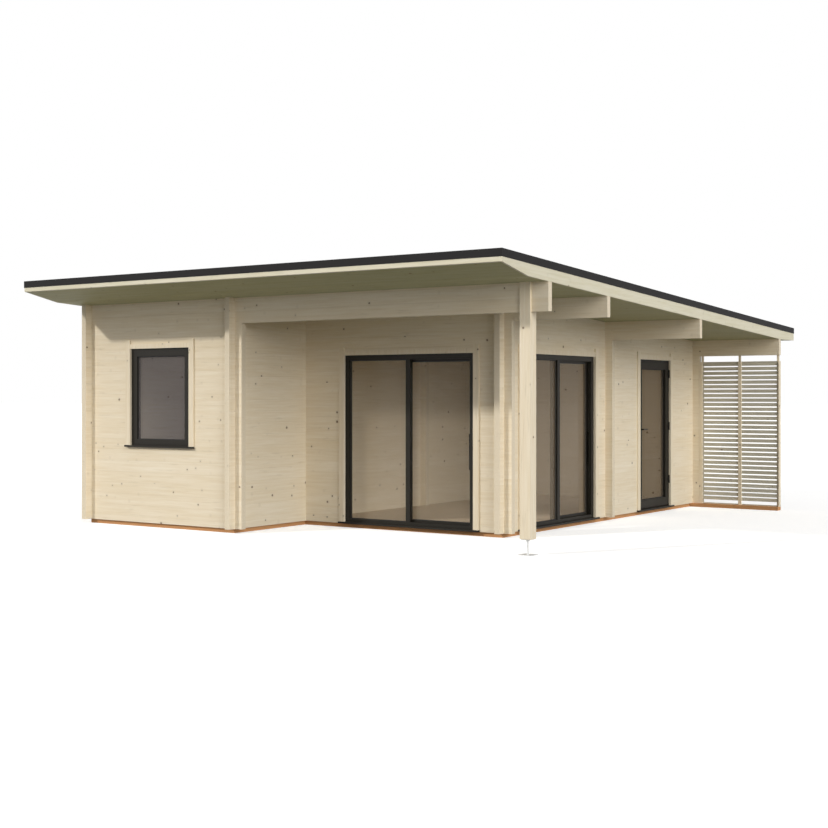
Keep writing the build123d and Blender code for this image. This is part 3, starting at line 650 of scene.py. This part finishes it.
class Bench:
    """The mesh tools that the fittings are made with."""

    @staticmethod
    def clear() -> None:
        """Deselect everything."""
        if bpy.context.mode != "OBJECT":
            bpy.ops.object.mode_set(mode="OBJECT")
        bpy.ops.object.select_all(action="DESELECT")

    @staticmethod
    def named(name: str) -> bpy.types.Object:
        """Name the new primitive and lay its place into its mesh.

        Args:
            name: The piece's name.

        Returns:
            The piece.
        """
        piece = bpy.context.object
        piece.name = name
        bpy.ops.object.transform_apply(location=True, rotation=True, scale=True)
        return piece

    @staticmethod
    def pick(piece: bpy.types.Object, facing: Sequence[float]) -> None:
        """Go into edit mode with only the faces that look one way selected.

        Args:
            piece: The piece to edit.
            facing: The way in which the wanted faces look.
        """
        way = Vector(facing)
        bpy.ops.object.mode_set(mode="EDIT")
        bpy.ops.mesh.select_mode(type="FACE")
        bpy.ops.mesh.select_all(action="DESELECT")
        bpy.ops.object.mode_set(mode="OBJECT")
        for face in piece.data.polygons:
            face.select = face.normal.dot(way) > 0.99
        bpy.ops.object.mode_set(mode="EDIT")

    @staticmethod
    def push(value: Sequence[float]) -> None:
        """Extrude the selected faces by a step."""
        bpy.ops.mesh.extrude_region_move(TRANSFORM_OT_translate={"value": tuple(value)})

    @staticmethod
    def modify(piece: bpy.types.Object, kind: str, **settings: object) -> None:
        """Apply one modifier.

        Args:
            piece: The piece that gets it.
            kind: The modifier's type.
            **settings: The modifier's settings.
        """
        bpy.context.view_layer.objects.active = piece
        modifier = piece.modifiers.new(kind.lower(), kind)
        for name, value in settings.items():
            setattr(modifier, name, value)
        bpy.ops.object.modifier_apply(modifier=modifier.name)

    @classmethod
    def ring(
        cls, name: str, width: float, height: float, member: float, depth: float
    ) -> bpy.types.Object:
        """Make a rectangular frame that stands on the origin and comes forward from it.

        Args:
            name: The piece's name.
            width: Its outer width along X.
            height: Its outer height along Z.
            member: The width of its members.
            depth: How far it comes forward, against Y.

        Returns:
            The piece.
        """
        cls.clear()
        bpy.ops.mesh.primitive_plane_add(
            size=1.0, location=(0.0, 0.0, height / 2), rotation=(math.pi / 2, 0.0, 0.0)
        )
        bpy.context.object.scale = (width, height, 1.0)
        piece = cls.named(name)
        bpy.ops.object.mode_set(mode="EDIT")
        bpy.ops.mesh.select_mode(type="FACE")
        bpy.ops.mesh.select_all(action="SELECT")
        bpy.ops.mesh.inset(thickness=member)
        bpy.ops.mesh.delete(type="FACE")
        bpy.ops.mesh.select_all(action="SELECT")
        cls.push((0.0, -depth, 0.0))
        bpy.ops.mesh.select_all(action="SELECT")
        bpy.ops.mesh.normals_make_consistent(inside=False)
        bpy.ops.object.mode_set(mode="OBJECT")
        cls.modify(piece, "BEVEL", width=depth * 0.3, segments=2)
        return piece

    @classmethod
    def screw(cls, name: str, radius: float, height: float) -> bpy.types.Object:
        """Make a round screw head with a socket, which looks against Y from the origin.

        Args:
            name: The piece's name.
            radius: The head's radius.
            height: How far the head stands off its seat.

        Returns:
            The piece.
        """
        cls.clear()
        bpy.ops.mesh.primitive_cylinder_add(
            vertices=12,
            radius=radius,
            depth=height,
            location=(0.0, -height / 2, 0.0),
            rotation=(math.pi / 2, 0.0, 0.0),
        )
        piece = cls.named(name)
        cls.pick(piece, (0.0, -1.0, 0.0))
        bpy.ops.mesh.inset(thickness=radius * 0.25)
        bpy.ops.mesh.inset(thickness=radius * 0.3)
        cls.push((0.0, height * 0.6, 0.0))
        bpy.ops.object.mode_set(mode="OBJECT")
        return piece

    @classmethod
    def repeat(
        cls, pattern: bpy.types.Object, places: Iterable[Matrix], name: str
    ) -> bpy.types.Object:
        """Copy a small piece to many places and join the copies.

        Args:
            pattern: The piece that is copied, which goes.
            places: The turn and place of each copy.
            name: The joined piece's name.

        Returns:
            The joined piece.
        """
        cls.clear()
        copies = []
        for place in places:
            copy = bpy.data.objects.new(name, pattern.data.copy())
            copy.data.transform(place)
            bpy.context.scene.collection.objects.link(copy)
            copy.select_set(True)
            copies.append(copy)
        bpy.data.objects.remove(pattern)
        bpy.context.view_layer.objects.active = copies[0]
        bpy.ops.object.join()
        copies[0].name = name
        return copies[0]

    @staticmethod
    def give(
        piece: bpy.types.Object, material: bpy.types.Material, body: str, slot: str
    ) -> bpy.types.Object:
        """Dress a finished piece and let it ride on its body.

        Args:
            piece: The finished piece.
            material: Its finish.
            body: The body that it moves with.
            slot: Not used.

        Returns:
            The piece.
        """
        piece.data.materials.clear()
        piece.data.materials.append(material)
        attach(piece, body)
        return piece


def dress(nodes: Iterable[str], material: bpy.types.Material) -> None:
    """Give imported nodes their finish.

    Args:
        nodes: The nodes' names.
        material: Their finish.
    """
    for name in nodes:
        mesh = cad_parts[name].data
        mesh.materials.clear()
        mesh.materials.append(material)


class Facing(Enum):
    """The way in which the outside of a wall looks."""

    FRONT = 0.0
    RIGHT = math.pi / 2


@dataclass
class LogWalls:
    """The walls, whose logs are laid in turn at the corners, with the beams on them."""

    log: float = 0.135
    first_along_x: float = 0.1175
    first_along_y: float = 0.05
    lines_along_x: Mapping[float, Sequence[str]] = field(
        default_factory=lambda: {
            -3.109: ("front_wall_lower", "front_wall_piers", "front_wall_upper", "front_beam"),
            -1.817: ("recess_wall_piers", "recess_wall_head", "recess_purlin"),
            0.690: ("partition_walls", "middle_purlin"),
            3.481: ("back_wall", "back_purlin"),
        }
    )
    lines_along_y: Mapping[float, Sequence[str]] = field(
        default_factory=lambda: {
            -3.171: ("left_wall",),
            -0.800: ("middle_wall",),
            2.014: ("right_wall_piers", "right_wall_head"),
        }
    )

    def dress(self) -> None:
        """Give each wall logs whose rings lie round its own middle."""
        for run, first, lines in (
            (Run.ALONG_X, self.first_along_x, self.lines_along_x),
            (Run.ALONG_Y, self.first_along_y, self.lines_along_y),
        ):
            for number, (line, nodes) in enumerate(lines.items()):
                logs = Timber(
                    f"logs_{run.name.lower()}_{number}",
                    run,
                    board=self.log,
                    first=first,
                    core=line,
                )
                dress(nodes, logs.material())
        dress(["sill_beams"], TreatedTimber().material())
        LOG.info("log walls dressed")


@dataclass
class Floors:
    """The floor boards of the rooms."""

    board: float = 0.12

    def dress(self) -> None:
        """Give the floors boards that run from front to back."""
        boards = Timber(
            "floor_boards",
            Run.ALONG_Y,
            pale=shade("d9c6ae"),
            dark=shade("c4ae94"),
            board=self.board,
            stack=Run.ALONG_X,
            joint=0.8,
        )
        dress(["main_floor", "side_floors"], boards.material())
        LOG.info("floors dressed")


@dataclass
class Roof:
    """The flat roof with its boards, felt and black edge."""

    soffit_board: float = 0.095

    def dress(self) -> None:
        """Give the roof its finishes."""
        # Painted shade: the soffit boards, rafters and roof deck get darker, greener wood
        # colours than the other timber, for the shade under the eaves.
        painted_shade_soffit = Timber(
            "soffit_boards_painted_shade",
            Run.ALONG_X,
            pale=shade("a7a580"),
            dark=shade("9b976f"),
            board=self.soffit_board,
            stack=Run.ALONG_Y,
            joint=0.25,
        )
        dress(["soffit", "rafters", "roof_deck"], painted_shade_soffit.material())
        for node, run in (("verge_boards", Run.ALONG_Y), ("eaves_boards", Run.ALONG_X)):
            board = Timber(node, run, pale=shade("e2ddca"), dark=shade("d3ccb0"))
            dress([node], board.material())
        dress(["roof_felt"], RoofFelt().material())
        edge = CoatedMetal("edge_metal", shade("0f0d0e"), gloss=0.6, seam=2.0)
        dress(["roof_edge_trim"], edge.material())
        LOG.info("roof dressed")


@dataclass
class Terrace:
    """The post with its adjustable foot.

    Attributes:
        foot: The middle of the foot.
        rod_radius: The radius on which the thread lies.
        thread: The radius of the thread's profile.
        pitch: The rise of one turn.
        low: Where the thread starts.
        high: Where it ends.
    """

    foot: tuple[float, float] = (3.063, -3.109)
    rod_radius: float = 0.0098
    thread: float = 0.0016
    pitch: float = 0.004
    low: float = 0.008
    high: float = 0.134

    def build(self) -> bpy.types.Object:
        """Cut the thread of the foot's rod.

        Returns:
            The thread.
        """
        Bench.clear()
        bpy.ops.mesh.primitive_circle_add(
            vertices=3, radius=self.thread, rotation=(math.pi / 2, 0.0, 0.0)
        )
        profile = Bench.named("foot_thread")
        profile.data.transform(Matrix.Translation((self.rod_radius, 0.0, self.low)))
        turns = int((self.high - self.low) / self.pitch)
        Bench.modify(
            profile,
            "SCREW",
            screw_offset=self.pitch,
            iterations=turns,
            steps=16,
            render_steps=16,
            use_merge_vertices=True,
        )
        profile.data.transform(Matrix.Translation((*self.foot, 0.0)))
        return profile

    def dress(self) -> None:
        """Give the post and its foot their finishes."""
        steel = GalvanisedSteel().material()
        dress(["terrace_post"], Timber("post_spruce", Run.UPRIGHT).material())
        dress(["post_foot"], steel)
        Bench.give(self.build(), steel, "cabin", "galvanised_steel")
        LOG.info("terrace post dressed")


@dataclass
class Screen:
    """The slatted screen with its screws.

    Attributes:
        front: The face of the slats.
        screw_lines: Where along X the screws stand.
        slats: How many slats there are.
        first_slat: The middle of the topmost slat.
        pitch: The distance from slat to slat.
        screw_radius: The radius of a screw's head.
        screw_height: How far a head stands off its slat.
    """

    front: float = 3.464
    screw_lines: Sequence[float] = (2.172, 2.748, 3.307)
    slats: int = 30
    first_slat: float = 1.9605
    pitch: float = 0.063
    screw_radius: float = 0.004
    screw_height: float = 0.0015

    def build(self) -> bpy.types.Object:
        """Set the screws of the slats.

        Returns:
            The screws.
        """
        pattern = Bench.screw("screen_screw", self.screw_radius, self.screw_height)
        places = [
            Matrix.Translation((line, self.front, self.first_slat - number * self.pitch))
            for line in self.screw_lines
            for number in range(self.slats)
        ]
        return Bench.repeat(pattern, places, "screen_screws")

    def dress(self, steel: bpy.types.Material) -> None:
        """Give the screen its finishes.

        Args:
            steel: The screws' finish.
        """
        slats = Timber("slat_spruce", Run.ALONG_X, pale=shade("d6d1c2"), dark=shade("bdb7a4"))
        dress(["screen_slats"], slats.material())
        dress(["screen_posts"], Timber("batten_spruce", Run.UPRIGHT).material())
        Bench.give(self.build(), steel, "cabin", "galvanised_steel")
        LOG.info("screen dressed")


@dataclass(frozen=True)
class Pane:
    """The outline of one pane, from the middle of its opening's foot.

    Attributes:
        body: The body that it moves with.
        left: Its left edge.
        bottom: Its lower edge.
        right: Its right edge.
        top: Its upper edge.
        inset: How far its outer face lies behind the wall's.
    """

    body: str
    left: float
    bottom: float
    right: float
    top: float
    inset: float


@dataclass
class Opening:
    """A glazed opening, placed by the middle of its foot on the wall's outer face.

    Attributes:
        name: The opening's name.
        place: The middle of its foot.
        facing: The way in which the wall looks.
        panes: Its panes.
        bead: The width of the rubber round a pane.
        bead_depth: How far the rubber stands off the pane.
    """

    name: str
    place: tuple[float, float, float]
    facing: Facing
    panes: Sequence[Pane]
    bead: float = 0.009
    bead_depth: float = 0.004

    def seat(self) -> Matrix:
        """Return the turn and place that take a fitting from the origin to the wall."""
        return Matrix.Translation(self.place) @ Matrix.Rotation(self.facing.value, 4, "Z")

    def build(self) -> list[tuple[bpy.types.Object, str]]:
        """Lay a rubber bead round the outside of each pane.

        Returns:
            Each bead with its body.
        """
        beads = []
        for number, pane in enumerate(self.panes):
            bead = Bench.ring(
                f"{self.name}_bead_{number}",
                pane.right - pane.left,
                pane.top - pane.bottom,
                self.bead,
                self.bead_depth,
            )
            middle = (pane.left + pane.right) / 2
            shift = Matrix.Translation((middle, pane.inset, pane.bottom))
            bead.data.transform(self.seat() @ shift)
            beads.append((bead, pane.body))
        return beads

    def dress(self, rubber: bpy.types.Material) -> None:
        """Give the beads their finish.

        Args:
            rubber: The beads' finish.
        """
        for bead, body in self.build():
            Bench.give(bead, rubber, body, "black_metal")
        LOG.info("%s glazed", self.name)


@dataclass
class DoorLock:
    """The lock below the lever of the hinged door.

    Attributes:
        seat: The turn and place of the door's opening.
        across: How far it sits from the middle of the door.
        height: How high it sits over the foot of the door.
        face: How far the door's face lies behind the wall's.
        radius: The cylinder's radius.
        height_off: How far the cylinder stands off the door.
        rim: The width of the cylinder's rim.
        rim_height: How far the rim stands over the plug.
        keyway_inset: How far the keyway stays from the rim.
        keyway_shape: What is left of the keyway's width and height.
        keyway_depth: How deep the keyway is.
    """

    seat: Matrix
    across: float = -0.419
    height: float = 1.005
    face: float = 0.005
    radius: float = 0.009
    height_off: float = 0.007
    rim: float = 0.0015
    rim_height: float = 0.001
    keyway_inset: float = 0.004
    keyway_shape: tuple[float, float, float] = (0.35, 1.0, 1.6)
    keyway_depth: float = 0.003

    def build(self) -> bpy.types.Object:
        """Turn the lock's cylinder with its keyway.

        Returns:
            The lock.
        """
        Bench.clear()
        bpy.ops.mesh.primitive_cylinder_add(
            vertices=32,
            radius=self.radius,
            depth=self.height_off,
            location=(0.0, -self.height_off / 2, 0.0),
            rotation=(math.pi / 2, 0.0, 0.0),
        )
        lock = Bench.named("door_lock")
        Bench.pick(lock, (0.0, -1.0, 0.0))
        bpy.ops.mesh.inset(thickness=self.rim)
        Bench.push((0.0, self.rim_height, 0.0))
        bpy.ops.mesh.inset(thickness=self.keyway_inset)
        bpy.ops.transform.resize(value=self.keyway_shape)
        Bench.push((0.0, self.keyway_depth, 0.0))
        bpy.ops.object.mode_set(mode="OBJECT")
        lock.data.transform(
            self.seat @ Matrix.Translation((self.across, self.face, self.height))
        )
        return lock

    def dress(self, metal: bpy.types.Material) -> None:
        """Give the lock its finish.

        Args:
            metal: The lock's finish.
        """
        Bench.give(self.build(), metal, "side_door", "handle_metal")
        LOG.info("door lock dressed")


@dataclass
class Studio:
    """The floor, the soft light and the camera."""

    eye: tuple[float, float, float] = (9.7735, -14.9615, 1.5803)
    heading: float = 34.2754
    lens: float = 59.49
    shift: float = -0.0220
    sky: float = 0.38
    key: float = 1.8
    key_travel: tuple[float, float, float] = (0.45, 0.77, -0.5)
    key_size: float = 3.0
    fill: float = 2.3
    fill_travel: tuple[float, float, float] = (-0.85, 0.35, -0.35)
    fill_size: float = 50.0
    floor_size: float = 400.0
    floor_drop: float = 0.0005
    floor_shade: float = 0.2
    floor_pale: float = 0.8
    floor_lift: float = 0.5

    def backdrop(self) -> None:
        """Lay a pale floor that keeps the shadow and looks white elsewhere."""
        Bench.clear()
        bpy.ops.mesh.primitive_plane_add(
            size=self.floor_size, location=(0.0, 0.0, -self.floor_drop)
        )
        floor = Bench.named("studio_floor")
        material = bpy.data.materials.new("studio_floor")
        material.use_nodes = True
        tree = material.node_tree
        shader = tree.nodes["Principled BSDF"]
        shader.inputs["Roughness"].default_value = 1.0
        shader.inputs["Specular IOR Level"].default_value = 0.0
        shader.inputs["Emission Color"].default_value = (1.0, 1.0, 1.0, 1.0)
        seen = self.seen(tree)
        pale = self.floor_shade + seen * (self.floor_pale - self.floor_shade)
        tree.links.new(pale.socket, shader.inputs["Base Color"])
        tree.links.new((seen * self.floor_lift).socket, shader.inputs["Emission Strength"])
        floor.data.materials.append(material)

    @staticmethod
    def seen(tree: bpy.types.NodeTree) -> Signal:
        """Tell what the camera sees, also through glass or in a reflection.

        Args:
            tree: The material's or the world's nodes.

        Returns:
            1 for what it sees and 0 for other light.
        """
        path = tree.nodes.new("ShaderNodeLightPath")
        rays = [
            Signal(tree, path.outputs[name])
            for name in ("Is Camera Ray", "Is Glossy Ray", "Is Transmission Ray")
        ]
        return rays[0].at_least(rays[1]).at_least(rays[2])

    def lights(self) -> None:
        """Hang a lamp in front at the left and a wide one at the right, in an even sky."""
        self.lamp("key_lamp", self.key, self.key_travel, self.key_size, (1.0, 0.965, 0.91))
        self.lamp("fill_lamp", self.fill, self.fill_travel, self.fill_size, (1.0, 0.99, 0.97))
        world = bpy.data.worlds.new("studio")
        bpy.context.scene.world = world
        world.use_nodes = True
        tree = world.node_tree
        background = tree.nodes["Background"]
        background.inputs["Color"].default_value = (1.0, 1.0, 1.0, 1.0)
        seen = self.seen(tree)
        strength = seen + (1.0 - seen) * self.sky
        tree.links.new(strength.socket, background.inputs["Strength"])

    @staticmethod
    def lamp(
        name: str, power: float, travel: Sequence[float], size: float, colour: Colour
    ) -> None:
        """Hang one distant lamp.

        Args:
            name: The lamp's name.
            power: Its strength.
            travel: The way in which its light goes.
            size: How wide it looks, in degrees.
            colour: The colour of its light.
        """
        lamp = bpy.data.lights.new(name, "SUN")
        lamp.energy = power
        lamp.angle = math.radians(size)
        lamp.color = colour
        holder = bpy.data.objects.new(name, lamp)
        holder.rotation_euler = Vector(travel).to_track_quat("-Z", "Y").to_euler()
        bpy.context.scene.collection.objects.link(holder)

    def camera(self) -> None:
        """Set the camera where the photograph was taken."""
        camera = bpy.data.cameras.new("camera")
        camera.lens = self.lens
        camera.sensor_width = 36.0
        camera.shift_y = self.shift
        camera.clip_end = 500.0
        holder = bpy.data.objects.new("camera", camera)
        holder.location = self.eye
        holder.rotation_euler = (math.pi / 2, 0.0, math.radians(self.heading))
        bpy.context.scene.collection.objects.link(holder)
        bpy.context.scene.camera = holder

    def build(self) -> None:
        """Set up the whole studio."""
        self.backdrop()
        self.lights()
        self.camera()
        bpy.context.scene.view_settings.view_transform = "Standard"
        LOG.info("studio set")


@dataclass
class Glazing:
    """The window and the doors with their frames, panes and beads.

    Attributes:
        openings: The window and the doors, with the hinged door last.
    """

    openings: Sequence[Opening]

    def dress(self) -> None:
        """Give the frames, panes and handles their finishes."""
        profile = CoatedMetal("black_profile", shade("1c1912"), gloss=0.42)
        dress(
            [
                "window_frame",
                "window_sash",
                "recess_slider_frame",
                "recess_slider_leaf",
                "side_slider_frame",
                "side_slider_leaf",
                "side_door_frame",
                "side_door_leaf",
                "side_door_hinge_pins",
                "side_door_hinge_knuckles",
                "metal_sills",
            ],
            profile.material(),
        )
        handle = CoatedMetal("handle_coat", shade("262626"), gloss=0.3).material()
        dress(["side_door_lever"], handle)
        dress(
            ["fixed_glass", "recess_slider_glass", "side_slider_glass"],
            TintedGlass().material(),
        )
        dress(["side_door_glass"], TintedGlass("door_glass", haze=0.14).material())
        dress(["casings"], Timber("casing_spruce", Run.UPRIGHT).material())
        rubber = Rubber().material()
        for opening in self.openings:
            opening.dress(rubber)
        DoorLock(self.openings[-1].seat()).dress(handle)


def openings() -> list[Opening]:
    """Lay out the window and the doors.

    Returns:
        The window, the two sliding doors and the hinged door.
    """
    window = Opening(
        "window",
        (-1.9615, -3.144, 0.961),
        Facing.FRONT,
        [Pane("cabin", left=-0.3925, bottom=0.094, right=0.3925, top=1.095, inset=0.032)],
    )
    sliders = [
        Opening(
            name,
            place,
            facing,
            [
                Pane("cabin", left=-0.85, bottom=0.06, right=-0.03, top=1.954, inset=0.037),
                Pane(leaf, left=0.0, bottom=0.084, right=0.826, top=1.93, inset=0.077),
            ],
        )
        for name, leaf, place, facing in (
            ("recess_slider", "recess_leaf", (0.744, -1.852, 0.05), Facing.FRONT),
            ("side_slider", "side_leaf", (2.049, -0.558, 0.05), Facing.RIGHT),
        )
    ]
    door = Opening(
        "side_door",
        (2.049, 2.149, 0.05),
        Facing.RIGHT,
        [Pane("side_door", left=-0.378, bottom=0.14, right=0.378, top=1.889, inset=0.051)],
    )
    return [window, *sliders, door]


def main() -> None:
    """Build and dress the summerhouse."""
    logging.basicConfig(level=logging.INFO)
    studio = Studio()
    studio.build()
    LogWalls().dress()
    Floors().dress()
    Roof().dress()
    Terrace().dress()
    Screen().dress(CoatedMetal("screw_coat", shade("3a3128"), gloss=0.45).material())
    Glazing(openings()).dress()


if __name__ == "__main__":
    main()
